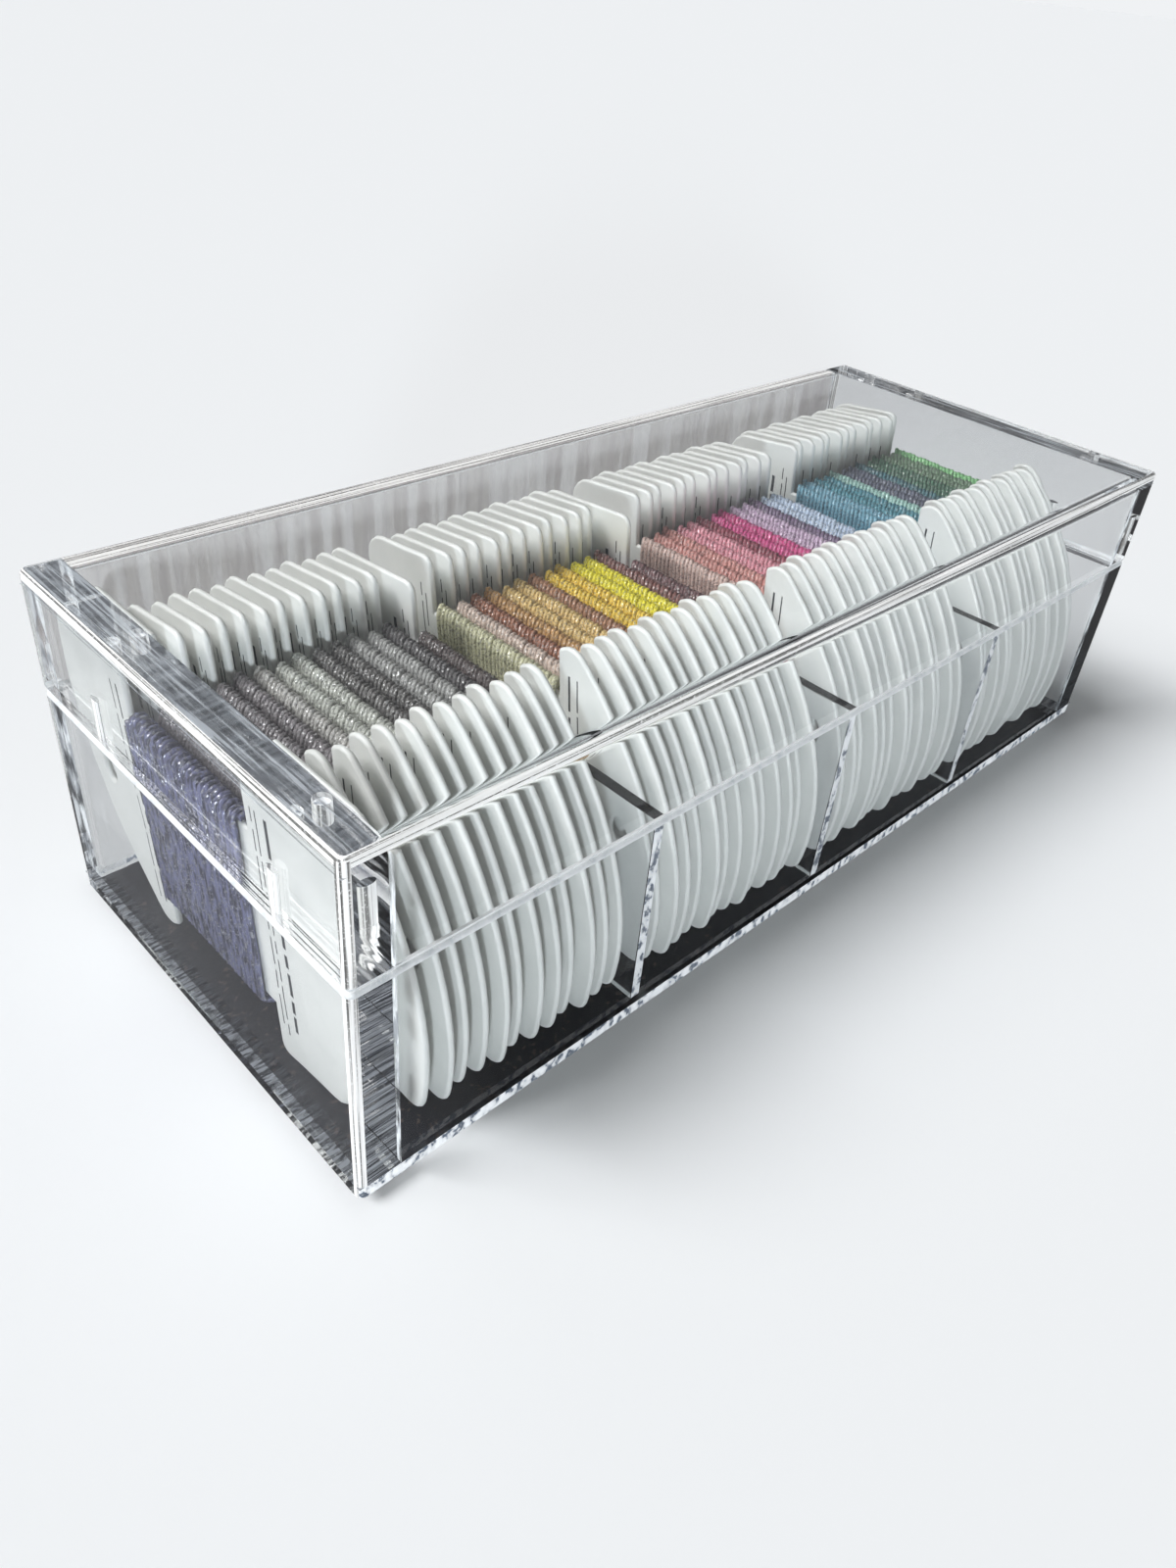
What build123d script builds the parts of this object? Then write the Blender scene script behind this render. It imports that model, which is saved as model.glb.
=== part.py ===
"""Clear thread box: a lidded box of cut clear sheet, holding four rows of wound thread cards.

Millimetres, +Z up. The origin is the middle of the underside, +X runs along the box and
-Y faces the side from which the cards' round tabs show.
"""

import os
from math import asin, cos, degrees, radians, sin, tan

from build123d import *

os.makedirs("parts", exist_ok=True)

# Box
box_length = 251.0
box_width = 102.0
rim_height = 50.0           # base rim above the table
lid_height = 25.4           # lid rim to lid top
lid_seat_gap = 0.1          # lid rim above base rim
end_thickness = 8.5
wall_thickness = 3.0
floor_thickness = 3.0
top_thickness = 3.3
corner_radius = 1.6         # upright outer corners
rim_radius = 1.0            # outer edges of both rims, which meet in a groove
top_radius = 1.2
foot_chamfer = 0.4

# Black sheet under the floor
sheet_thickness = 0.6
sheet_inset = 1.25

# Dividers
divider_thickness = 2.5
divider_count = 3
divider_drop = 0.5          # divider top below the base rim

# Locating pins, two in each end
pin_diameter = 2.9
pin_from_end = 6.0
pin_spread = 58.0
pin_root = 5.0
pin_rise = 7.7
pin_chamfer = 0.3
pin_clearance = 0.15
pin_headroom = 0.6

# Thread cards
card_thickness = 1.3
card_headroom = 2.1         # from an upright card's top to the lid
cards_per_row = 13
card_lean = 6.0             # degrees, tops towards the left end
first_row_lean = 5.0        # at the right of the first row, which fans out
first_card_lean = 2.6
card_seat_gap = 0.15        # lowest corner of a card above the floor
card_shift = -1.0           # middle of the cards, off the middle of the box
first_card_shift = 2.0
card_stagger = 0.8          # how far the cards stand out of line
side_gap = 0.35             # from a winding to the divider beside it

# Card outline, from the card's middle (u) and its foot (v)
card_end_gap = 2.5          # from the tab's end to the long wall, with the card in the middle
waist_width = 38.5
waist_margin = 12.75        # from the card's foot and top to the waist
tab_corner_radius = 5.0
corner_steps = 2            # flats in each rounded corner of the cards
sail_belly_height = 18.5    # the sail-shaped tab's long curved edge reaches furthest here
sail_top_reach = 4.0        # the upper end of that edge, out from the waist
sail_tip_drop = 2.5         # where the slope from there meets the waist
sail_corner_radius = 3.0
sail_flats = 7              # flats in the curved edge
square_tab_drop = 3.0       # outer end of the square tab below the card's top
square_tab_taper = 4.0
small_corner_radius = 2.5
hole_from_end = 10.0
hole_width = 4.2
hole_height = 7.0
wide_tab_extra = 7.0        # the larger cards' square tab reaches this much further in

# Windings
winding_gap = 0.31          # between neighbouring windings, along the row
winding_side_gap = 0.5
winding_over = 3.2          # thread standing above and below the waist
winding_slot_gap = 0.1
winding_crown = 1.9         # height of the sloped top and bottom edges
winding_flat = 1.3

# The winding seen face on, as one strand
strand_diameter = 1.2
strand_loops = 20
strand_sides = 6
strand_card_gap = 0.2
strand_turn_rise = 1.2      # height of the turns over and under the waist

# Shades in each row, left to right, with the number of cards of each
row_shades = (
    (("pewter", 3), ("silver", 1), ("mist", 2), ("graphite", 2), ("steel", 2), ("charcoal", 1)),
    (("cream", 1), ("blush", 1), ("copper", 1), ("bronze", 1), ("pale_gold", 2), ("russet", 1),
     ("amber", 2), ("yellow", 2), ("maroon", 1)),
    (("rose_beige", 1), ("salmon", 2), ("pink", 2), ("dark_rose", 1), ("magenta", 2),
     ("lilac", 2), ("plum", 1), ("ice_blue", 2)),
    (("sky_blue", 2), ("teal", 2), ("aqua", 1), ("slate", 2), ("deep_teal", 1),
     ("dark_green", 2), ("sage", 2), ("bright_green", 1)),
)
wide_card_shades = {0: "black_brown", 1: "dark_maroon"}     # rows that end in a wider card

# Worked out from the sizes above
floor_top = sheet_thickness + floor_thickness
lid_rim = rim_height + lid_seat_gap
lid_top_height = lid_rim + lid_height
lid_ceiling = lid_top_height - top_thickness
inner_length = box_length - 2 * end_thickness
inner_width = box_width - 2 * wall_thickness
divider_top = rim_height - divider_drop
compartment_length = (inner_length - divider_count * divider_thickness) / (divider_count + 1)
pin_x = box_length / 2 - pin_from_end
card_height = lid_ceiling - floor_top - card_headroom
tab_reach = inner_width / 2 - card_end_gap          # middle of the card to the end of either tab
waist_low = waist_margin
waist_high = card_height - waist_margin
sail_rise = card_height - sail_belly_height
sail_run = tab_reach - waist_width / 2 - sail_top_reach
sail_radius = (sail_rise**2 + sail_run**2) / (2 * sail_run)
row_rest_height = divider_top - floor_top           # a leaning row touches the divider's top
row_shortening = (row_rest_height - waist_low + winding_over) * tan(radians(card_lean))
row_pitch = (compartment_length - 2 * side_gap - row_shortening + winding_gap) / cards_per_row
winding_thickness = (row_pitch - winding_gap) * cos(radians(card_lean))


def save(part, name):
    """Label a finished piece and write it."""
    part.label = name
    export_step(part, f"parts/{name}.step")


# ---------------------------------------------------------------- box plates

def end_block(side, low, high, rim_up, hole_radius, hole_depth):
    """A thick end of the base or the lid, rounded outside and drilled for two pins.

    side is -1 for the left end; rim_up says whether the rim is the upper face.
    """
    rim = high if rim_up else low
    inner_face = box_length / 2 - end_thickness
    drill = Location((0, 0, rim), (0, 0, 0) if rim_up else (180, 0, 0))
    with BuildPart() as block:
        with BuildSketch(Plane.XY.offset(low)):
            with Locations((side * (inner_face + end_thickness / 2), 0)):
                Rectangle(end_thickness, box_width)
        extrude(amount=high - low)
        upright = block.edges().filter_by(Axis.Z).group_by(Axis.X)[-1 if side > 0 else 0]
        fillet(upright, corner_radius)
        rim_edges = block.faces().sort_by(Axis.Z)[-1 if rim_up else 0].edges()
        outer_edges = rim_edges.filter_by(lambda e: abs(e.center().X) > inner_face + rim_radius / 2)
        fillet(outer_edges, rim_radius)
        with Locations(drill):
            with Locations((side * pin_x, pin_spread / 2), (side * pin_x, -pin_spread / 2)):
                Hole(hole_radius, depth=hole_depth)
    return block.part


def long_wall(side, low, high, rim_up):
    """A thin long wall between the ends; side is -1 for the front."""
    with BuildPart() as wall:
        with BuildSketch(Plane.XY.offset(low)):
            with Locations((0, side * (box_width - wall_thickness) / 2)):
                Rectangle(inner_length, wall_thickness)
        extrude(amount=high - low)
        rim_edges = wall.faces().sort_by(Axis.Z)[-1 if rim_up else 0].edges().filter_by(Axis.X)
        fillet(rim_edges.sort_by(Axis.Y)[-1 if side > 0 else 0], rim_radius)
    return wall.part


with BuildPart() as base_sheet:
    with BuildSketch():
        RectangleRounded(box_length - 2 * sheet_inset, box_width - 2 * sheet_inset, corner_radius)
    extrude(amount=sheet_thickness)
save(base_sheet.part, "base_sheet")

with BuildPart() as base_floor:
    with BuildSketch(Plane.XY.offset(sheet_thickness)):
        RectangleRounded(box_length, box_width, corner_radius)
    extrude(amount=floor_thickness)
    chamfer(base_floor.faces().sort_by(Axis.Z)[0].edges(), foot_chamfer)
save(base_floor.part, "base_floor")

with BuildPart() as lid_top:
    with BuildSketch(Plane.XY.offset(lid_ceiling)):
        RectangleRounded(box_length, box_width, corner_radius)
    extrude(amount=top_thickness)
    fillet(lid_top.faces().sort_by(Axis.Z)[-1].edges(), top_radius)
save(lid_top.part, "lid_top")

pin_radius = pin_diameter / 2
for side, end_name in ((-1, "left"), (1, "right")):
    socket = end_block(side, floor_top, rim_height, True, pin_radius, pin_root)
    save(socket, f"base_{end_name}_end")
    blind_depth = pin_rise + pin_headroom
    cap = end_block(side, lid_rim, lid_ceiling, False, pin_radius + pin_clearance, blind_depth)
    save(cap, f"lid_{end_name}_end")

for side, side_name in ((-1, "front"), (1, "back")):
    save(long_wall(side, floor_top, rim_height, True), f"base_{side_name}_wall")
    save(long_wall(side, lid_rim, lid_ceiling, False), f"lid_{side_name}_wall")

for side, end_name in ((-1, "left"), (1, "right")):
    with BuildPart() as pins:
        with BuildSketch(Plane.XY.offset(rim_height - pin_root)):
            with Locations((side * pin_x, pin_spread / 2), (side * pin_x, -pin_spread / 2)):
                Circle(pin_radius)
        extrude(amount=pin_root + pin_rise)
        chamfer(pins.faces().filter_by(Axis.Z).group_by(Axis.Z)[-1].edges(), pin_chamfer)
    save(pins.part, f"pins_{end_name}")


def compartment_left(row):
    """Left face of a compartment, counted from 0 at the left end."""
    return -inner_length / 2 + row * (compartment_length + divider_thickness)


for place, place_name in enumerate(("left", "middle", "right")):
    divider_x = compartment_left(place + 1) - divider_thickness / 2
    with BuildPart() as divider:
        with BuildSketch(Plane.XY.offset(floor_top)):
            with Locations((divider_x, 0)):
                Rectangle(divider_thickness, inner_width)
        extrude(amount=divider_top - floor_top)
    save(divider.part, f"divider_{place_name}")


# ---------------------------------------------------------------- cards and windings

def rounded(corner, before, after, radius):
    """Points of a rounded corner, between the points that stand before and after it."""
    into = (Vector(*corner) - Vector(*before)).normalized()
    out = (Vector(*after) - Vector(*corner)).normalized()
    half_turn = radians(into.get_angle(out)) / 2
    setback = radius * tan(half_turn)
    inward = (out - into).normalized()
    centre = Vector(*corner) + inward * (radius / cos(half_turn))
    first = Vector(*corner) - into * setback - centre
    sign = 1 if into.cross(out).Z > 0 else -1
    turns = [sign * 2 * half_turn * step / corner_steps for step in range(corner_steps + 1)]
    return [centre + first.rotate(Axis.Z, degrees(turn)) for turn in turns]


def sail_points():
    """Points along the sail-shaped tab's curved edge, from the foot to the top."""
    low_turn = asin(-sail_belly_height / sail_radius)
    high_turn = asin(sail_rise / sail_radius)
    points = []
    for step in range(sail_flats + 1):
        turn = low_turn + (high_turn - low_turn) * step / sail_flats
        across = sail_radius * (1 - cos(turn)) - tab_reach
        points.append((across, sail_belly_height + sail_radius * sin(turn)))
    return points


def card(tab_extra=0.0):
    """A card standing on its foot in the YZ plane: a sail-shaped tab, a waist and a square tab."""
    waist_left = -waist_width / 2
    waist_right = waist_width / 2 - tab_extra
    foot_start = (waist_left, 0)
    foot_corner, *sail_edge, sail_top = sail_points()
    tip_end = (waist_left, card_height - sail_tip_drop)
    inner_corner = (waist_right, card_height)
    top_out = (tab_reach - square_tab_taper, card_height - square_tab_drop)
    foot_out = (tab_reach, 0)
    foot_inner = (waist_right, 0)
    with BuildPart() as blank:
        with BuildSketch(Plane.YZ):
            with BuildLine():
                edge = [foot_start]
                edge += rounded(foot_corner, foot_start, sail_edge[0], sail_corner_radius)
                edge += sail_edge
                edge += rounded(sail_top, sail_edge[-1], tip_end, sail_corner_radius)
                edge += [tip_end, (waist_left, waist_high), (waist_right, waist_high)]
                edge += rounded(inner_corner, (waist_right, waist_high), top_out, small_corner_radius)
                edge += rounded(top_out, inner_corner, foot_out, tab_corner_radius)
                edge += rounded(foot_out, top_out, foot_inner, tab_corner_radius)
                edge += [foot_inner, (waist_right, waist_low), (waist_left, waist_low)]
                Polyline(*edge, close=True)
            make_face()
            with Locations((hole_from_end - tab_reach, card_height / 2)):
                across, up = hole_width / 2, hole_height / 2
                Polygon((0, up), (-across, up / 2), (-across, -up / 2),
                        (0, -up), (across, -up / 2), (across, up / 2), mode=Mode.SUBTRACT)
        extrude(amount=card_thickness / 2, both=True)
    return blank.part


def winding(tab_extra=0.0):
    """A flat rope of thread round a card's waist, as one crowned solid with a slot for the card."""
    width = waist_width - tab_extra - 2 * winding_side_gap
    height = waist_high - waist_low + 2 * winding_over
    with BuildPart() as rope:
        with BuildSketch(Plane.XZ):
            with Locations((0, card_height / 2)):
                crowned = Rectangle(winding_thickness, height)
                chamfer(crowned.vertices(), winding_crown, winding_thickness / 2 - winding_flat / 2)
                Rectangle(card_thickness + 2 * winding_slot_gap,
                          height - 2 * winding_over + 2 * winding_slot_gap, mode=Mode.SUBTRACT)
        extrude(amount=width / 2, both=True)
    return rope.part.moved(Location((0, -tab_extra / 2, 0)))


def strand_points():
    """Corner points of the strand's path: up the face, over the waist, down the back, under it."""
    reach = card_thickness / 2 + strand_card_gap + strand_diameter / 2
    pitch = (waist_width - 2 * winding_side_gap - strand_diameter) / strand_loops
    start = -strand_loops * pitch / 2
    over_low = waist_high + strand_card_gap
    over_high = over_low + strand_turn_rise
    under_high = waist_low - strand_card_gap
    under_low = under_high - strand_turn_rise
    points = []
    for loop in range(strand_loops):
        near = start + loop * pitch
        points.append((-reach, near, under_high))
        points.append((-reach, near, over_low))
        points.append((-reach / 2, near + pitch / 8, over_high))
        points.append((reach / 2, near + pitch * 3 / 8, over_high))
        points.append((reach, near + pitch / 2, over_low))
        if loop < strand_loops - 1:
            points.append((reach, near + pitch / 2, under_high))
            points.append((reach / 2, near + pitch * 5 / 8, under_low))
            points.append((-reach / 2, near + pitch * 7 / 8, under_low))
    return points


def strand():
    """The whole winding as one unbroken tube of straight runs."""
    points = strand_points()
    with BuildPart() as tube:
        with BuildLine() as path:
            Polyline(*points)
        with BuildSketch(Plane(points[0], z_dir=(0, 0, 1))):
            RegularPolygon(strand_diameter / 2, strand_sides)
        sweep(path=path.line, transition=Transition.RIGHT)
    return tube.part


def least_strand_gap():
    """Smallest gap between runs of the strand that don't follow each other."""
    points = strand_points()
    runs = [Edge.make_line(first, second) for first, second in zip(points, points[1:])]
    gaps = [
        run.distance_to(other)
        for index, run in enumerate(runs)
        for other in runs[index + 3:index + 10]
    ]
    return min(gaps) - strand_diameter


def card_spot(row, place):
    """Where a card stands: leaning in its row, its lowest corner just above the floor."""
    steps = cards_per_row - 1
    lean_start = card_lean if row else first_card_lean
    lean_end = card_lean if row else first_row_lean
    lean = lean_start + (lean_end - lean_start) * place / steps
    half = winding_thickness / 2 / cos(radians(lean))
    # the first row leans on the tall end block, the others on the divider at their left
    rest_height = row_rest_height if row else waist_high + winding_over
    left = compartment_left(row)
    first_foot = left + side_gap + half + rest_height * tan(radians(lean_start))
    last_foot = left + compartment_length - side_gap - half
    last_foot += (waist_low - winding_over) * tan(radians(lean_end))
    foot = first_foot + (last_foot - first_foot) * place / steps
    foot_height = floor_top + card_seat_gap + card_thickness / 2 * sin(radians(lean))
    shift = card_shift + card_stagger * sin(2.3 * place + 1.7 * row)
    return Location((foot, shift, foot_height), (0, -lean, 0))


def save_copies(piece, spots, name):
    """Write one node that holds a copy of a piece at each spot."""
    with BuildPart() as group:
        with Locations(*spots):
            add(piece)
    save(group.part, name)


plain_card = card()
wide_card = card(wide_tab_extra)
plain_winding = winding()
wide_winding = winding(wide_tab_extra)

# the first card is turned upside down, so that its sail-shaped tab points to the back
first_spot = card_spot(0, 0) * Location((0, 0, card_height), (180, 0, 0))
first_spot = Location((0, first_card_shift - card_spot(0, 0).position.Y, 0)) * first_spot
save(plain_card.moved(first_spot), "first_card")
save(strand().moved(first_spot), "thread_lavender")
print(f"first card's strand: least gap to itself {least_strand_gap():.2f} mm")

for row, shades in enumerate(row_shades):
    place = 1 if row == 0 else 0
    row_spots = []
    for shade, count in shades:
        spots = [card_spot(row, place + number) for number in range(count)]
        save_copies(plain_winding, spots, f"thread_{shade}")
        row_spots += spots
        place += count
    save_copies(plain_card, row_spots, f"cards_row_{row + 1}")
    if row in wide_card_shades:
        save(wide_card.moved(card_spot(row, place)), f"wide_card_{row + 1}")
        save(wide_winding.moved(card_spot(row, place)), f"thread_{wide_card_shades[row]}")
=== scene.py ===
"""Looks of a clear lidded box of thread cards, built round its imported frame.

Metres, +Z up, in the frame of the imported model. The box is made of clear shells. The cards and
their windings are modelled once and copied into the four rows.
"""

import logging
import math
import random
from contextlib import contextmanager
from dataclasses import dataclass, field
from enum import Enum
from typing import Callable, Iterator, Sequence

import bmesh
import bpy
from bmesh.types import BMEdge, BMFace, BMVert
from bpy.types import Material, MeshPolygon, Node, NodeSocket, NodeTree, Object
from mathutils import Matrix, Vector


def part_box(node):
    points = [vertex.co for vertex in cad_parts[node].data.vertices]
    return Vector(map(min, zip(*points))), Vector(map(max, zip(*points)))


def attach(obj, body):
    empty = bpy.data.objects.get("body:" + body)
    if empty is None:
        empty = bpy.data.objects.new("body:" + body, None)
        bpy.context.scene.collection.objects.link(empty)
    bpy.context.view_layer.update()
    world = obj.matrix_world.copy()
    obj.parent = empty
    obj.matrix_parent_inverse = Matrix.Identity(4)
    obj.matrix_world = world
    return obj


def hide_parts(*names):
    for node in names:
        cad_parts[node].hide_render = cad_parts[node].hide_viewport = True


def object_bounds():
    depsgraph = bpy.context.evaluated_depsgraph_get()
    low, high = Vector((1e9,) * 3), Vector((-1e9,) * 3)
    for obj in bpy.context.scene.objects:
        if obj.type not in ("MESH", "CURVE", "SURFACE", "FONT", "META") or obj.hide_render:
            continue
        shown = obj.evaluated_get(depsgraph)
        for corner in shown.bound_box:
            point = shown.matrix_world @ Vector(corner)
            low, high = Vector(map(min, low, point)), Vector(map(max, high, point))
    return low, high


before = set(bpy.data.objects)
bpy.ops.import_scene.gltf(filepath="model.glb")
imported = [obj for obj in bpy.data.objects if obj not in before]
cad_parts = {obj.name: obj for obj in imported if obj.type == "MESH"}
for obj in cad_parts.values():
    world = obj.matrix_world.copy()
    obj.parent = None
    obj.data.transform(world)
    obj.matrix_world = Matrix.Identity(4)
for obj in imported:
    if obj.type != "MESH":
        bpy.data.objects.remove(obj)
CAD_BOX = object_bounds()

log = logging.getLogger("thread_box")
logging.basicConfig(level=logging.INFO, format="%(message)s")

MM = 0.001
TINY = 1e-6                 # places closer than this are the same
SMALL = 1e-5                # the same, once a bevel or a cut has moved them
SHEET_INDEX = 1.49          # refractive index of the clear sheet
NEXT_RAY = 0.5              # parts a ray depth of 0 from one of 1 or more
WHITE = (1.0, 1.0, 1.0)
CLEAR_SLOT = "clear_acrylic"
Colour = tuple[float, float, float]
Point = tuple[float, float, float]
Test = Callable[[BMFace | BMEdge], bool]


# ------------------------------------------------------------------ modelling helpers

def same(first: float, second: float, gap: float = TINY) -> bool:
    """Say whether two places lie within a gap of each other."""
    return abs(first - second) < gap


def deselect() -> None:
    """Leave nothing selected."""
    for item in bpy.context.selected_objects:
        item.select_set(False)


def activate(piece: Object) -> None:
    """Select one piece alone and make it active."""
    deselect()
    piece.select_set(True)
    bpy.context.view_layer.objects.active = piece


@contextmanager
def editing(piece: Object) -> Iterator[None]:
    """Edit mode on one piece, with nothing selected in it at the start.

    Args:
        piece: the mesh object to edit.
    """
    activate(piece)
    bpy.ops.object.mode_set(mode="EDIT")
    bpy.ops.mesh.select_all(action="DESELECT")
    try:
        yield
    finally:
        bpy.ops.object.mode_set(mode="OBJECT")


def pick(piece: Object, kind: str, test: Test) -> None:
    """Select the faces or the edges that pass a test, and no others.

    Args:
        piece: the mesh in edit mode.
        kind: FACE or EDGE.
        test: says whether a face or an edge is wanted.
    """
    bpy.ops.mesh.select_mode(type=kind)
    mesh = bmesh.from_edit_mesh(piece.data)
    items = mesh.faces if kind == "FACE" else mesh.edges
    for item in items:
        item.select_set(False)
    for item in [item for item in items if test(item)]:
        item.select_set(True)
    bmesh.update_edit_mesh(piece.data)


def bevel(piece: Object, test: Test, radius: float, steps: int) -> None:
    """Bevel the edges of a piece in edit mode.

    Args:
        piece: the mesh in edit mode.
        test: says whether an edge is wanted.
        radius: how far the bevel reaches.
        steps: how many faces make it up.
    """
    pick(piece, "EDGE", test)
    bpy.ops.mesh.bevel(offset=radius, segments=steps, affect="EDGES")


def extrude(y: float = 0.0, z: float = 0.0) -> None:
    """Extrude the selected faces, and move the new ones by a step across and a step up."""
    bpy.ops.mesh.extrude_region_move(TRANSFORM_OT_translate={"value": (0, y, z)})


def bake_place() -> None:
    """Move the active object's place, turn and size into its mesh."""
    bpy.ops.object.transform_apply(location=True, rotation=True, scale=True)


def add_block(name: str, low: Sequence[float], high: Sequence[float]) -> Object:
    """A block between two corners, with its place in its mesh.

    Args:
        name: the object's name.
        low: lowest corner, in metres.
        high: highest corner, in metres.

    Returns:
        The new object.
    """
    deselect()
    centre = [(a + b) / 2 for a, b in zip(low, high)]
    size = [b - a for a, b in zip(low, high)]
    bpy.ops.mesh.primitive_cube_add(size=1, location=centre, scale=size)
    block = bpy.context.object
    block.name = name
    block.data.name = name
    bake_place()
    return block


def add_rod(name: str, foot: Point, radius: float, length: float, sides: int) -> Object:
    """An upright rod standing on a point, with its place in its mesh.

    Args:
        name: the object's name.
        foot: middle of the rod's lower end.
        radius: the rod's radius.
        length: the rod's length.
        sides: how many sides stand for its round.

    Returns:
        The new object.
    """
    deselect()
    place = (foot[0], foot[1], foot[2] + length / 2)
    bpy.ops.mesh.primitive_cylinder_add(vertices=sides, radius=radius, depth=length,
                                        location=place)
    rod = bpy.context.object
    rod.name = name
    bake_place()
    return rod


def apply_modifier(piece: Object, kind: str, **settings: object) -> None:
    """Add a modifier to a piece with the given settings and apply it."""
    activate(piece)
    modifier = piece.modifiers.new(kind.lower(), kind)
    for key, value in settings.items():
        setattr(modifier, key, value)
    bpy.ops.object.modifier_apply(modifier=modifier.name)


def subtract(piece: Object, tool: Object) -> None:
    """Cut a tool's shape out of a piece and remove the tool."""
    apply_modifier(piece, "BOOLEAN", operation="DIFFERENCE", object=tool, solver="EXACT")
    bpy.data.objects.remove(tool)


def join(name: str, parts: Sequence[Object]) -> Object:
    """Join parts into one piece with a name, and return it."""
    activate(parts[0])
    for part in parts:
        part.select_set(True)
    if len(parts) > 1:
        bpy.ops.object.join()
    whole = bpy.context.view_layer.objects.active
    whole.name = name
    whole.data.name = name
    return whole


def copy_to(master: Object, place: Matrix) -> Object:
    """A copy of a piece with its own mesh, moved by a matrix that goes into the mesh."""
    twin = bpy.data.objects.new(master.name, master.data.copy())
    bpy.context.scene.collection.objects.link(twin)
    twin.data.transform(place)
    return twin


def smooth(piece: Object, degrees: float = 35.0) -> None:
    """Shade a piece smooth, with edges sharper than an angle kept crisp and large faces flat."""
    activate(piece)
    bpy.ops.object.shade_smooth_by_angle(angle=math.radians(degrees))
    apply_modifier(piece, "WEIGHTED_NORMAL", weight=50, keep_sharp=True)


def dress(piece: Object, *materials: Material) -> None:
    """Give a piece its materials, in order, in place of what it has."""
    piece.data.materials.clear()
    for material in materials:
        piece.data.materials.append(material)


def settle(piece: Object, body: str, slot: str, *nodes: str) -> None:
    """Tie a finished piece to the frame and log it.

    Args:
        piece: the finished piece.
        body: the body that it rides on.
        slot: the record's material slot; not used.
        nodes: the nodes that it stands for.
    """
    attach(piece, body)
    if nodes:
        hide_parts(*nodes)
    log.info("%s: %d faces, on %s", piece.name, len(piece.data.polygons), body)


# ------------------------------------------------------------------ finishes

class Nodes:
    """A node tree, with short ways to add nodes and to feed them."""

    def __init__(self, tree: NodeTree) -> None:
        """Take the tree to work in."""
        self.tree = tree

    def feed(self, socket: NodeSocket, source: object) -> None:
        """Link an input to another socket, or set it to a value or a colour."""
        if isinstance(source, NodeSocket):
            self.tree.links.new(source, socket)
        else:
            socket.default_value = (*source, 1) if socket.type == "RGBA" else source

    def add(self, kind: str, *sources: object, **settings: object) -> Node:
        """Add a node.

        Args:
            kind: the node's type.
            sources: what feeds its inputs, in their order.
            settings: its properties, or its inputs where a key names one.

        Returns:
            The node.
        """
        node = self.tree.nodes.new(kind)
        for key, value in settings.items():
            name = key.replace("_", " ").title()
            if name in node.inputs:
                self.feed(node.inputs[name], value)
            else:
                setattr(node, key, value)
        for socket, source in zip(node.inputs, sources):
            self.feed(socket, source)
        return node

    def calc(self, operation: str, first: object, second: object) -> NodeSocket:
        """Work out one value from two."""
        return self.add("ShaderNodeMath", first, second, operation=operation).outputs[0]

    def span(self, source: object, low: float, high: float, start: float = 0.0,
             end: float = 1.0) -> NodeSocket:
        """Map a value from one range to another, kept inside it."""
        return self.add("ShaderNodeMapRange", source, low, high, start, end).outputs["Result"]

    def mix(self, share: object, first: object, second: object) -> NodeSocket:
        """Mix two colours by a share."""
        node = self.add("ShaderNodeMix", share, data_type="RGBA")
        colours = [socket for socket in node.inputs if socket.type == "RGBA"]
        self.feed(colours[0], first)
        self.feed(colours[1], second)
        return next(socket for socket in node.outputs if socket.type == "RGBA")

    def between(self, share: object, first: object, second: object) -> NodeSocket:
        """Mix two shaders by a share."""
        return self.add("ShaderNodeMixShader", share, first, second).outputs[0]

    def glow(self, colour: object, strength: float) -> NodeSocket:
        """Light from the world, with a colour and a strength."""
        return self.add("ShaderNodeBackground", colour, strength).outputs[0]


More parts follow.
